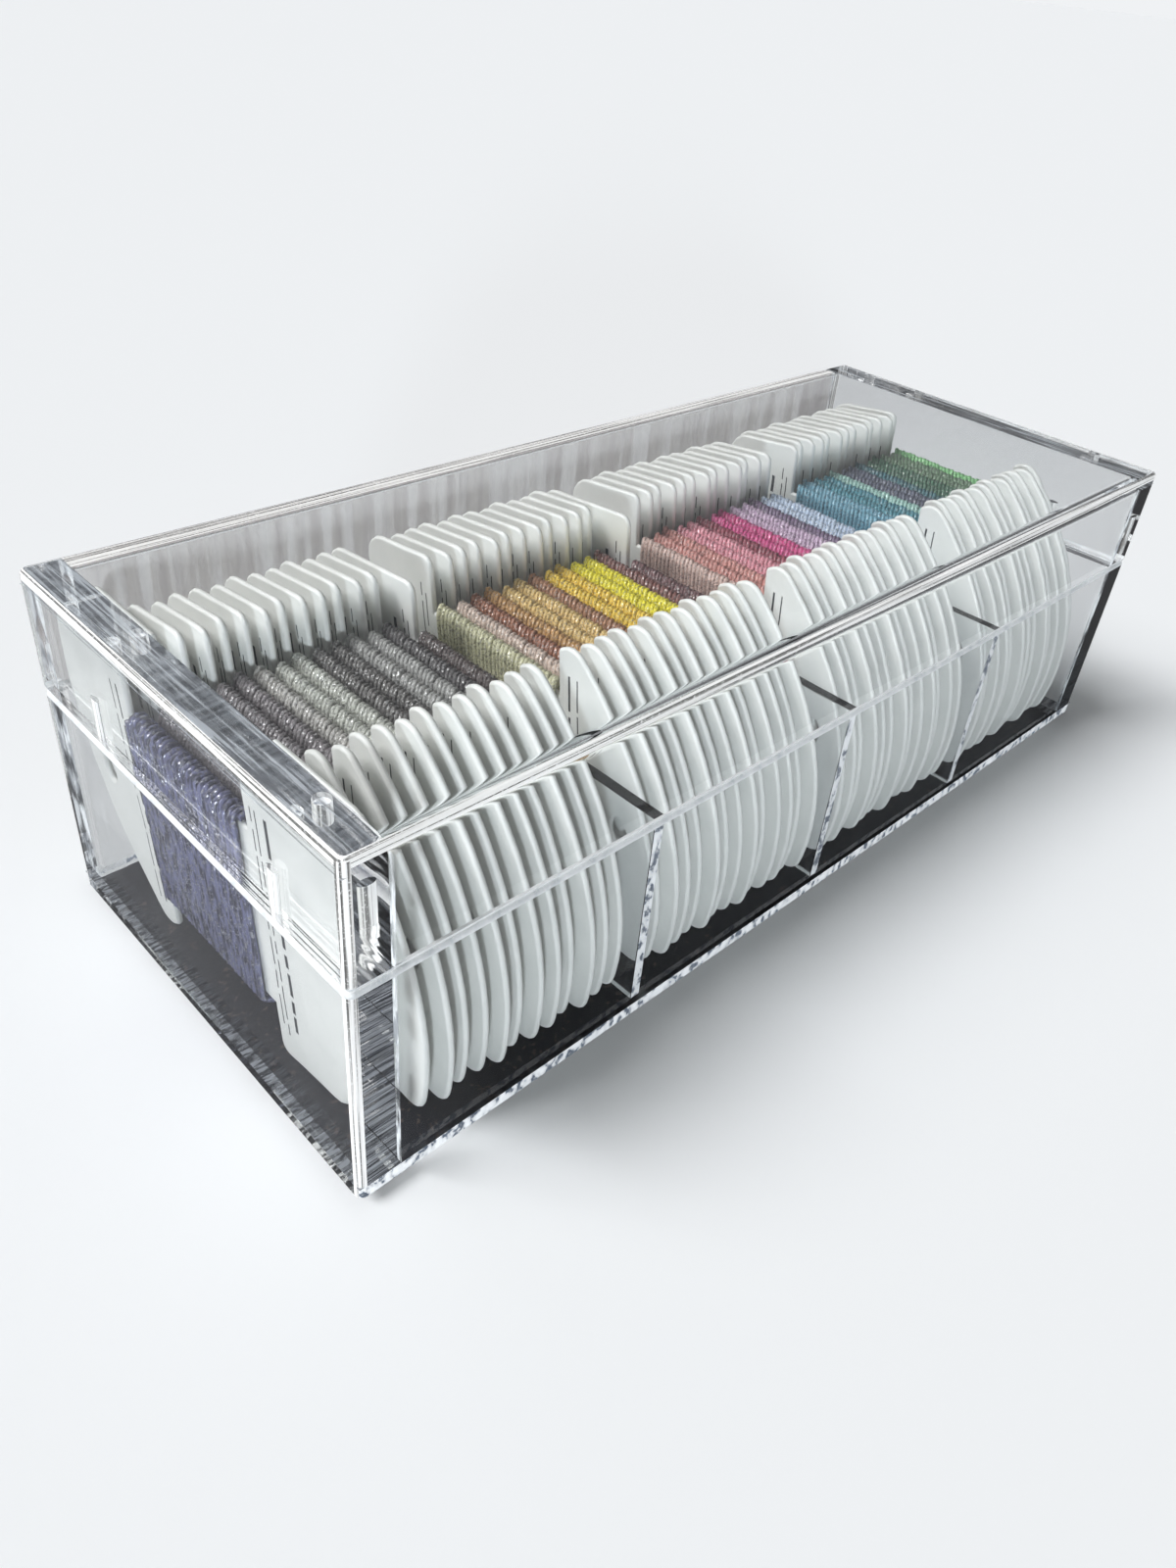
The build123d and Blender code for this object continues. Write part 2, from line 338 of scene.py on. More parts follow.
class Finish(Nodes):
    """A new material's node tree, round its Principled shader."""

    def __init__(self, name: str, **values: object) -> None:
        """Start a material with a name, and with values for set."""
        self.material = bpy.data.materials.new(name)
        self.material.use_nodes = True
        super().__init__(self.material.node_tree)
        self.shader = self.tree.nodes["Principled BSDF"]
        self.place = self.add("ShaderNodeTexCoord").outputs["Object"]
        self.set(**values)

    def set(self, **values: object) -> None:
        """Feed the shader's inputs, each named in small letters with underscores."""
        sockets = {socket.name.lower().replace(" ", "_"): socket for socket in self.shader.inputs}
        for key, value in values.items():
            self.feed(sockets[key], value)

    def noise(self, scale: float, detail: float = 2.0, stretch: Point = (1, 1, 1)) -> NodeSocket:
        """Noise over the piece."""
        place = self.add("ShaderNodeMapping", self.place, scale=stretch).outputs["Vector"]
        return self.add("ShaderNodeTexNoise", place, scale=scale, detail=detail).outputs["Fac"]

    def ramp(self, source: object, *stops: tuple[float, Colour]) -> NodeSocket:
        """Turn a value into a colour by stops."""
        node = self.add("ShaderNodeValToRGB", source)
        points = node.color_ramp.elements
        while len(points) < len(stops):
            points.new(0.5)
        for point, (position, colour) in zip(points, stops):
            point.position = position
            point.color = (*colour, 1)
        return node.outputs["Color"]

    def bump(self, height: object, depth: float) -> None:
        """Bump the surface by a height, with a depth in metres."""
        node = self.add("ShaderNodeBump", strength=1.0, distance=depth, height=height)
        self.set(normal=node.outputs["Normal"])

    def swap(self, share: object, other: object) -> None:
        """Show another shader in place of the material's own, by a share."""
        shown = self.between(share, self.shader.outputs[0], other)
        self.feed(self.tree.nodes["Material Output"].inputs["Surface"], shown)

    def let_lamps_through(self, tint: Colour) -> None:
        """Let light on its way to or from a diffuse surface pass straight through, tinted."""
        path = self.add("ShaderNodeLightPath").outputs
        straight = self.calc("MAXIMUM", path["Is Shadow Ray"], path["Is Diffuse Ray"])
        self.swap(straight, self.add("ShaderNodeBsdfTransparent", tint).outputs[0])


@dataclass(frozen=True)
class ClearSheet:
    """Polished clear sheet, with a cool tint and slight waves in its faces."""

    name: str
    tint: Colour = (0.985, 0.995, 1.0)
    passes: Colour = (0.95, 0.953, 0.955)
    bend: float = SHEET_INDEX
    rough: float = 0.0
    wave_depth: float = 0.05 * MM
    wave_scale: float = 55.0
    wave_stretch: Point = (1, 1, 1)

    def make(self) -> Material:
        """Build the material."""
        n = Finish(self.name, base_color=self.tint, transmission_weight=1.0, ior=self.bend,
                   roughness=self.rough)
        n.bump(n.noise(self.wave_scale, 1.0, self.wave_stretch), self.wave_depth)
        n.let_lamps_through(self.passes)
        return n.material


@dataclass(frozen=True)
class SawnEdge:
    """The cut edge of clear sheet: icy white, mottled, streaked by the saw; its glow is painted
    light.
    """

    name: str
    light: Colour = (0.93, 0.96, 0.99)
    dark: Colour = (0.45, 0.50, 0.57)
    scale: float = 420.0
    streaks: Point = (1, 1, 0.7)
    dark_share: float = 0.42
    dark_blur: float = 0.08
    clear_share: float = 0.35
    # painted light: emission in the edge's own colour, standing in for light the sheet carries to
    # its edges
    glow: float = 0.0
    grain_scale: float = 2600.0
    rough: float = 0.3
    relief: float = 0.2 * MM
    passes: Colour = (0.90, 0.90, 0.90)

    def make(self) -> Material:
        """Build the material."""
        # the emission set here is painted light, not a lamp
        n = Finish(self.name, emission_strength=self.glow, roughness=self.rough, ior=SHEET_INDEX)
        coarse = n.noise(self.scale, 3.0, self.streaks)
        shade = n.ramp(coarse, (self.dark_share - self.dark_blur, self.dark),
                       (self.dark_share, self.light), (1.0, WHITE))
        colour = n.mix(n.span(n.noise(self.grain_scale), 0.55, 0.75), shade, WHITE)
        n.set(base_color=colour, emission_color=colour,
              transmission_weight=n.span(coarse, 0.3, 0.6, 2 * self.clear_share, 0.1))
        n.bump(coarse, self.relief)
        n.let_lamps_through(self.passes)
        return n.material


@dataclass(frozen=True)
class BlackSheet:
    """Thin black sheet with faint brown specks and fine scratches."""

    name: str
    base: Colour = (0.006, 0.0065, 0.010)
    speck: Colour = (0.09, 0.065, 0.055)
    speck_scale: float = 800.0
    scratch_scale: float = 300.0
    gloss: float = 0.12

    def make(self) -> Material:
        """Build the material."""
        n = Finish(self.name, specular_ior_level=self.gloss)
        specks = n.span(n.noise(self.speck_scale, 4.0), 0.60, 0.68)
        scratches = n.noise(self.scratch_scale, 2.0, (1, 8, 1))
        n.set(base_color=n.mix(specks, self.base, self.speck),
              roughness=n.span(scratches, 0.3, 0.7, 0.3, 0.5))
        return n.material


@dataclass(frozen=True)
class CardStock:
    """White card with soft mottling and a fine fibre."""

    name: str
    light: Colour = (0.90, 0.905, 0.875)
    shade: Colour = (0.85, 0.86, 0.83)
    mottle_scale: float = 140.0
    fibre_scale: float = 1800.0
    relief: float = 0.03 * MM

    def make(self) -> Material:
        """Build the material."""
        n = Finish(self.name)
        mottle = n.span(n.noise(self.mottle_scale, 3.0), 0.35, 0.65)
        fibre = n.noise(self.fibre_scale)
        n.set(base_color=n.mix(mottle, self.shade, self.light),
              roughness=n.span(fibre, 0.3, 0.7, 0.42, 0.6))
        n.bump(fibre, self.relief)
        return n.material


@dataclass(frozen=True)
class PrintInk:
    """Dark grey ink of the plain rules on the cards."""

    name: str
    ink: Colour = (0.03, 0.03, 0.035)
    rough: float = 0.6

    def make(self) -> Material:
        """Build the material."""
        return Finish(self.name, base_color=self.ink, roughness=self.rough).material


@dataclass(frozen=True)
class ThreadFinish:
    """Metallic embroidery thread: its colour, darkened by painted shade between the strands, with
    bright glints.
    """

    name: str
    shade: Colour
    glint_share: float = 0.60
    glint_blur: float = 0.04
    glint_scale: float = 2500.0
    fibre_scale: float = 1900.0
    along: Point = (1, 1, 1)
    # painted shade: share of the thread's colour left where the strands meet
    hollow: float = 0.4
    hollow_shade_share: float = 0.44
    hollow_shade_blur: float = 0.08
    lift: float = 1.3
    relief: float = 0.3 * MM

    def make(self) -> Material:
        """Build the material."""
        n = Finish(self.name)
        full = tuple(min(0.9, self.lift * value) for value in self.shade)
        # painted shade for the gaps between strands
        dark = tuple(self.hollow * value for value in full)
        bright = tuple(min(1.0, 0.5 + 0.8 * value) for value in self.shade)
        fibres = n.noise(self.fibre_scale, 2.0, self.along)
        hollow_shade_mask = n.span(fibres, self.hollow_shade_share - self.hollow_shade_blur,
                         self.hollow_shade_share + self.hollow_shade_blur)
        glints = n.span(n.noise(self.glint_scale, 1.0), self.glint_share,
                        self.glint_share + self.glint_blur)
        n.set(base_color=n.mix(glints, n.mix(hollow_shade_mask, dark, full), bright),
              roughness=n.span(glints, 0, 1, 0.5, 0.25),
              metallic=n.span(glints, 0, 1, 0.0, 0.7))
        n.bump(fibres, self.relief)
        return n.material


@dataclass(frozen=True)
class GlueAndReflectionFilm:
    """A milky film seen through the sheet, with streaks, gaps and fine lines: glued joints, and
    the painted reflection in the lid's back wall.
    """

    name: str
    milk: Colour = (0.90, 0.93, 0.95)
    shadow: Colour = (0.40, 0.42, 0.45)
    scale: float = 500.0
    streaks: Point = (1, 1, 1)
    cover_scale: float = 0.6        # scale of the gaps, as a share of the streaks'
    cover_low: float = 0.1
    cover_high: float = 0.8
    rough: float = 0.5

    def make(self) -> Material:
        """Build the material."""
        n = Finish(self.name, roughness=self.rough, specular_ior_level=0.0)
        streaks = n.noise(self.scale, 3.0, self.streaks)
        cover = n.noise(self.cover_scale * self.scale, 3.0, self.streaks)
        n.set(base_color=n.ramp(streaks, (0.42, self.shadow), (0.52, self.milk)),
              alpha=n.span(cover, 0.42, 0.58, self.cover_low, self.cover_high))
        return n.material


class FaceFinish(Enum):
    """Places of the shells' finishes in their material lists; each is a field of BoxFinishes."""

    CLEAR = 0
    MILLED = 1
    SAWN = 2
    RIM = 3
    LONG_LINES = 4
    CROSS_LINES = 5
    UPRIGHT_LINES = 6
    STILL = 7


@dataclass(frozen=True)
class BoxFinishes:
    """The finishes of the clear box's faces and joints."""

    clear: Material
    still: Material
    milled: Material
    sawn: Material
    rim: Material
    long_lines: Material
    cross_lines: Material
    upright_lines: Material
    bubbles: Material
    hatch: Material
    faint: Material
    # painted reflection in the lid's back wall
    haze: Material

    @classmethod
    def mix(cls) -> "BoxFinishes":
        """Make every finish of the box."""
        # rounded edges: their light and dark lines are a painted reflection of the surroundings,
        # their glow painted light
        painted_edge_lines = dict(light=(0.97, 0.96, 0.94), dark=(0.16, 0.155, 0.15), dark_share=0.49,
                     clear_share=0.35, glow=0.2)
        looks = dict(
            clear=ClearSheet("clear_sheet"),
            still=ClearSheet("laid_sheet", bend=1.12, wave_depth=0.0),
            milled=ClearSheet("milled_rim", rough=0.08, wave_scale=500.0, wave_depth=0.2 * MM,
                              wave_stretch=(1, 0.05, 1)),
            # sawn edges: frosted and mottled, with a painted glow standing in for light carried
            # along the sheet
            sawn=SawnEdge("sawn_edge", dark=(0.16, 0.20, 0.27), dark_share=0.49, scale=700.0,
                          glow=0.3),
            rim=SawnEdge("sanded_rim", light=(0.80, 0.82, 0.83), dark=(0.72, 0.75, 0.77),
                         clear_share=0.1),
            long_lines=SawnEdge("polished_edge_long", streaks=(0.03, 5, 5), **painted_edge_lines),
            cross_lines=SawnEdge("polished_edge_cross", streaks=(5, 0.03, 5), **painted_edge_lines),
            upright_lines=SawnEdge("polished_edge_upright", streaks=(4, 4, 0.03), **painted_edge_lines),
            bubbles=GlueAndReflectionFilm("bubbled_joint", streaks=(1, 1, 0.4)),
            hatch=GlueAndReflectionFilm("hatched_joint", milk=(0.30, 0.32, 0.35), shadow=(0.05, 0.055, 0.065),
                        streaks=(0.15, 3, 1), cover_low=0.3, cover_high=0.9),
            faint=GlueAndReflectionFilm("faint_joint", milk=(0.75, 0.8, 0.85), shadow=(0.2, 0.21, 0.23),
                        streaks=(3, 0.12, 1), cover_low=0.0, cover_high=0.35),
            # painted reflection: warm grey streaks standing in for the blurred reflection in the
            # lid's back wall
            haze=GlueAndReflectionFilm("hazy_wall", milk=(0.95, 0.90, 0.88), shadow=(0.84, 0.78, 0.77),
                       scale=450.0, streaks=(1, 1, 0.06), cover_low=0.3, cover_high=0.55),
        )
        return cls(**{key: look.make() for key, look in looks.items()})

    def faces(self) -> list[Material]:
        """The shells' materials, in the order of FaceFinish."""
        return [getattr(self, finish.name.lower()) for finish in FaceFinish]


class Shade(Enum):
    """Thread shades from left to right: linear colour, row and number of cards."""

    LAVENDER = (0.12, 0.125, 0.22), 1, 1
    PEWTER = (0.17, 0.155, 0.16), 1, 3
    SILVER = (0.38, 0.37, 0.35), 1, 1
    MIST = (0.43, 0.44, 0.40), 1, 2
    GRAPHITE = (0.10, 0.095, 0.09), 1, 2
    STEEL = (0.30, 0.30, 0.29), 1, 2
    CHARCOAL = (0.07, 0.065, 0.065), 1, 1
    BLACK_BROWN = (0.06, 0.045, 0.042), 1, 1
    CREAM = (0.50, 0.49, 0.33), 2, 1
    BLUSH = (0.52, 0.42, 0.36), 2, 1
    COPPER = (0.24, 0.10, 0.055), 2, 1
    BRONZE = (0.40, 0.23, 0.085), 2, 1
    PALE_GOLD = (0.58, 0.42, 0.17), 2, 2
    RUSSET = (0.28, 0.14, 0.075), 2, 1
    AMBER = (0.68, 0.48, 0.06), 2, 2
    YELLOW = (0.72, 0.62, 0.03), 2, 2
    MAROON = (0.15, 0.06, 0.05), 2, 1
    DARK_MAROON = (0.10, 0.045, 0.045), 2, 1
    ROSE_BEIGE = (0.58, 0.43, 0.38), 3, 1
    SALMON = (0.52, 0.25, 0.22), 3, 2
    PINK = (0.62, 0.27, 0.32), 3, 2
    DARK_ROSE = (0.22, 0.045, 0.065), 3, 1
    MAGENTA = (0.52, 0.07, 0.22), 3, 2
    LILAC = (0.50, 0.38, 0.50), 3, 2
    PLUM = (0.15, 0.10, 0.17), 3, 1
    ICE_BLUE = (0.46, 0.54, 0.66), 3, 2
    SKY_BLUE = (0.15, 0.33, 0.42), 4, 2
    TEAL = (0.06, 0.22, 0.27), 4, 2
    AQUA = (0.32, 0.52, 0.47), 4, 1
    SLATE = (0.08, 0.09, 0.13), 4, 2
    DEEP_TEAL = (0.03, 0.11, 0.13), 4, 1
    DARK_GREEN = (0.03, 0.10, 0.055), 4, 2
    SAGE = (0.10, 0.17, 0.10), 4, 2
    BRIGHT_GREEN = (0.20, 0.48, 0.20), 4, 1

    def __init__(self, colour: Colour, row: int, cards: int) -> None:
        """Take the parts of the value."""
        self.colour, self.row, self.cards = colour, row, cards
        self.node = f"thread_{self.name.lower()}"

    def thread(self) -> Material:
        """The shade's finish; the first card's thread is seen from near, along its strands."""
        if self is Shade.LAVENDER:
            # the first card's thread gets deeper painted shade between its strands
            return ThreadFinish("upright_lavender", self.colour, glint_share=0.59,
                                glint_scale=1500.0, along=(0.6, 0.6, 0.12), hollow=0.2,
                                hollow_shade_share=0.5).make()
        return ThreadFinish(f"{self.name.lower()}_thread", self.colour).make()


# ------------------------------------------------------------------ the box

@dataclass
class Shells:
    """The clear base and the clear lid, each one glued shell with its joints showing."""

    finishes: BoxFinishes = field(repr=False)
    floor_low: float = 0.62 * MM
    floor_top: float = 3.6 * MM
    rim: float = 50.0 * MM
    lid_rim: float = 50.1 * MM
    ceiling: float = 72.2 * MM
    lid_top: float = 75.5 * MM
    end_thickness: float = 8.5 * MM
    wall_thickness: float = 3.0 * MM
    edge_band: float = 1.9 * MM
    corner_radius: float = 1.6 * MM
    corner_steps: int = 5
    rim_radius: float = 1.0 * MM
    top_radius: float = 1.2 * MM
    foot_chamfer: float = 0.4 * MM
    edge_steps: int = 4
    pin_x: float = 119.5 * MM
    pin_y: float = 29.0 * MM
    pin_radius: float = 1.45 * MM
    pin_rise: float = 7.7 * MM
    pin_foot_gap: float = 0.03 * MM
    pin_chamfer: float = 0.3 * MM
    hole_radius: float = 1.6 * MM
    hole_depth: float = 8.3 * MM
    round_sides: int = 32
    glue_fillet: float = 1.4 * MM
    film_thickness: float = 0.05 * MM
    film_inset: float = 0.1 * MM
    film_rim_gap: float = 0.3 * MM
    # gap under the film of painted reflection in the lid's back wall
    reflection_film_rim_gap: float = 1.5 * MM
    split_gap: float = 0.01 * MM        # a split plane, off the face that it follows

    def __post_init__(self) -> None:
        """Take the overall sizes from the frame."""
        self.half_length, self.half_width = CAD_BOX[1].x, CAD_BOX[1].y
        self.inner_length = self.half_length - self.end_thickness
        self.inner_width = self.half_width - self.wall_thickness

    def hollow(self, block: Object, mouth: float, bottom: float) -> None:
        """Hollow a block from one of its level faces.

        Args:
            block: the block.
            mouth: height of the face that is opened.
            bottom: height to which the hollow goes.
        """
        share = self.inner_length / (self.half_length - self.wall_thickness)
        with editing(block):
            pick(block, "FACE", lambda f: same(f.calc_center_median().z, mouth))
            bpy.ops.mesh.inset(thickness=self.wall_thickness, depth=0)
            bpy.ops.transform.resize(value=(share, 1, 1), center_override=(0, 0, mouth))
            extrude(z=bottom - mouth)

    def is_outer(self, vertex: BMVert) -> bool:
        """Say whether a vertex lies at the outside of a shell, seen from above."""
        reach = 1.5 * self.corner_radius
        return (abs(vertex.co.x) > self.half_length - reach
                or abs(vertex.co.y) > self.half_width - reach)

    def round_outside(self, block: Object, heights: dict[float, float]) -> None:
        """Round the upright outer corners, then the outer edges at the given heights.

        Args:
            block: the shell.
            heights: radius of the outer edge at each height.
        """
        with editing(block):
            bevel(block, lambda e: not same(e.verts[0].co.z, e.verts[1].co.z, MM / 10)
                  and all(abs(v.co.x) > self.half_length - SMALL for v in e.verts),
                  self.corner_radius, self.corner_steps)
            for height, radius in heights.items():
                bevel(block, lambda e: all(same(v.co.z, height) and self.is_outer(v)
                                           for v in e.verts)
                      and any(abs(f.normal.z) < 0.5 for f in e.link_faces),
                      radius, self.edge_steps)

    def finish_of(self, face: MeshPolygon, rim: float) -> FaceFinish:
        """Which finish a face of a shell has.

        Args:
            face: the face.
            rim: height of the shell's rim.

        Returns:
            The finish.
        """
        middle, normal = face.center, face.normal
        across, along, upward = (abs(part) for part in normal)
        in_wall = abs(middle.y) > self.inner_width
        between_ends = abs(middle.x) < self.inner_length
        level, tilt = upward > 0.95, 0.05
        in_base = rim < self.lid_rim
        if level and in_base and middle.z < self.floor_top + SMALL and between_ends:
            return FaceFinish.STILL
        # the floor's cut edges take the sawn finish, with its painted glow
        if in_wall and along > 0.7 and middle.z < self.floor_top:
            return FaceFinish.SAWN
        if level and same(middle.z, rim, SMALL):
            return FaceFinish.RIM if in_wall and between_ends else FaceFinish.MILLED
        if same(middle.z, rim, 1.02 * self.rim_radius) and upward > 0.02:
            return FaceFinish.RIM
        # rounded edges take the finishes with painted reflection lines and painted glow
        if upward < 0.5 and min(across, along) > tilt:
            return FaceFinish.UPRIGHT_LINES
        in_band = middle.z > self.lid_top - self.edge_band and upward < 0.97
        if in_band and max(across, along) > tilt:
            return FaceFinish.LONG_LINES if along > across else FaceFinish.CROSS_LINES
        return FaceFinish.CLEAR

    def split(self, shell: Object, height: float) -> None:
        """Split a shell's faces at a height and beside both ends, to dress them apart."""
        end = self.inner_length + self.split_gap
        with editing(shell):
            for axis, place in ((2, height), (0, -end), (0, end)):
                normal = Vector([float(axis == other) for other in range(3)])
                bpy.ops.mesh.select_all(action="SELECT")
                bpy.ops.mesh.bisect(plane_co=normal * place, plane_no=normal)

    def complete(self, shell: Object, rim: float, body: str, *nodes: str) -> None:
        """Give each face of a shell its finish, shade the shell and settle it."""
        dress(shell, *self.finishes.faces())
        for face in shell.data.polygons:
            face.material_index = self.finish_of(face, rim).value
        smooth(shell)
        settle(shell, body, CLEAR_SLOT, *nodes)

    def block(self, name: str, low: float, high: float) -> Object:
        """A block with the box's outline between two heights."""
        return add_block(name, (-self.half_length, -self.half_width, low),
                         (self.half_length, self.half_width, high))

    def base(self) -> None:
        """The base shell: floor, ends and long walls as one clear body with sawn foot edges."""
        shell = self.block("base_shell", self.floor_low, self.rim)
        self.hollow(shell, self.rim, self.floor_top)
        self.round_outside(shell, {self.rim: self.rim_radius, self.floor_low: self.foot_chamfer})
        self.split(shell, self.floor_top + self.split_gap)
        self.complete(shell, self.rim, "box_base", "base_floor", "base_left_end",
                      "base_right_end", "base_front_wall", "base_back_wall")

    def lid(self) -> None:
        """The lid shell, with blind holes for the pins in its ends."""
        shell = self.block("lid_shell", self.lid_rim, self.lid_top)
        self.hollow(shell, self.lid_rim, self.ceiling)
        with editing(shell):
            bevel(shell, lambda e: all(same(v.co.z, self.ceiling)
                                       and same(abs(v.co.y), self.inner_width, SMALL)
                                       for v in e.verts)
                  and abs(e.verts[0].co.x - e.verts[1].co.x) > self.half_length,
                  self.glue_fillet, self.corner_steps)
        self.round_outside(shell, {self.lid_rim: self.rim_radius, self.lid_top: self.top_radius})
        self.split(shell, self.lid_top - self.edge_band)
        for side in (-1, 1):
            for row in (-1, 1):
                foot = (side * self.pin_x, row * self.pin_y, self.lid_rim - MM)
                subtract(shell, add_rod("drill", foot, self.hole_radius, self.hole_depth + MM,
                                        self.round_sides))
        self.complete(shell, self.lid_rim, "lid", "lid_top", "lid_left_end", "lid_right_end",
                      "lid_front_wall", "lid_back_wall")

    def film(self, name: str, low: Point, high: Point, finish: Material, body: str) -> None:
        """Add one thin film between two corners, dress it and settle it on a body."""
        piece = add_block(name, low, high)
        dress(piece, finish)
        settle(piece, body, CLEAR_SLOT)

    def joint_films(self) -> None:
        """Films of glue in the joints of walls and ends, and a film with a painted reflection in
        the back wall.
        """
        inner, thin, ceiling = self.inner_length, self.film_thickness, self.ceiling
        near, far = self.inner_width + self.film_inset, self.half_width - self.film_inset
        for body, shell_name, low, high in (
                ("box_base", "base", self.floor_top + self.film_inset,
                 self.rim - self.film_rim_gap),
                ("lid", "lid", self.lid_rim + self.film_rim_gap, ceiling)):
            films = []
            for side in (-1, 1):
                for row in (-1, 1):
                    y_low, y_high = sorted((row * near, row * far))
                    films.append(add_block("film", (side * inner - thin / 2, y_low, low),
                                           (side * inner + thin / 2, y_high, high)))
            piece = join(f"{shell_name}_corner_joints", films)
            dress(piece, self.finishes.bubbles)
            settle(piece, body, CLEAR_SLOT)
        # the glued joint under the back wall wears the rounded edges' finish, with its painted
        # lines and glow
        self.film("back_wall_joint", (-inner, near, ceiling - thin), (inner, far, ceiling),
                  self.finishes.long_lines, "lid")
        # a film inside the lid's back wall that carries a painted reflection
        self.film("back_wall_haze", (-inner, near + MM, self.lid_rim + self.reflection_film_rim_gap),
                  (inner, near + MM + thin, ceiling - MM), self.finishes.haze, "lid")
        for side, end_name in ((-1, "left"), (1, "right")):
            x_low, x_high = sorted((side * (inner + self.film_inset),
                                    side * (self.half_length - self.film_inset)))
            self.film(f"{end_name}_end_joint", (x_low, -far, self.floor_top),
                      (x_high, far, self.floor_top + thin), self.finishes.hatch, "box_base")
            self.film(f"{end_name}_cap_joint", (x_low, -far, ceiling - thin),
                      (x_high, far, ceiling), self.finishes.faint, "lid")

    def pins(self) -> None:
        """The locating pins, rising out of the base's ends into the lid."""
        for side, end_name in ((-1, "left"), (1, "right")):
            rods = []
            for row in (-1, 1):
                foot = (side * self.pin_x, row * self.pin_y, self.rim + self.pin_foot_gap)
                rods.append(add_rod("pin", foot, self.pin_radius, self.pin_rise, self.round_sides))
            pair = join(f"locating_pins_{end_name}", rods)
            with editing(pair):
                bevel(pair, lambda e: all(v.co.z > self.rim + MM for v in e.verts),
                      self.pin_chamfer, 2)
            # the pins' tops take the sawn finish, with its painted glow
            dress(pair, self.finishes.clear, self.finishes.sawn)
            for face in pair.data.polygons:
                face.material_index = int(face.normal.z > 0.3)
            smooth(pair)
            settle(pair, "box_base", CLEAR_SLOT, f"pins_{end_name}")


@dataclass
class Dividers:
    """Three clear dividers standing across the base."""

    finishes: BoxFinishes = field(repr=False)
    foot_gap: float = 0.08 * MM
    side_gap: float = 0.1 * MM
    edge_chamfer: float = 0.12 * MM

    def build(self) -> None:
        """Make one divider and copy it to the three places."""
        low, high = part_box("divider_left")
        inset = Vector((0, self.side_gap, 0))
        master = add_block("divider", low + inset + Vector((0, 0, self.foot_gap)), high - inset)
        with editing(master):
            bevel(master, lambda e: True, self.edge_chamfer, 1)
        # the front and back edges take the sawn finish, with its painted glow
        dress(master, self.finishes.clear, self.finishes.sawn)
        for face in master.data.polygons:
            face.material_index = int(abs(face.normal.y) > 0.9)
        for place in ("left", "middle", "right"):
            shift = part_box(f"divider_{place}")[0] - low
            divider = copy_to(master, Matrix.Translation(shift))
            divider.name = f"clear_divider_{place}"
            settle(divider, "box_base", CLEAR_SLOT, f"divider_{place}")
        bpy.data.objects.remove(master)


# ------------------------------------------------------------------ cards and windings

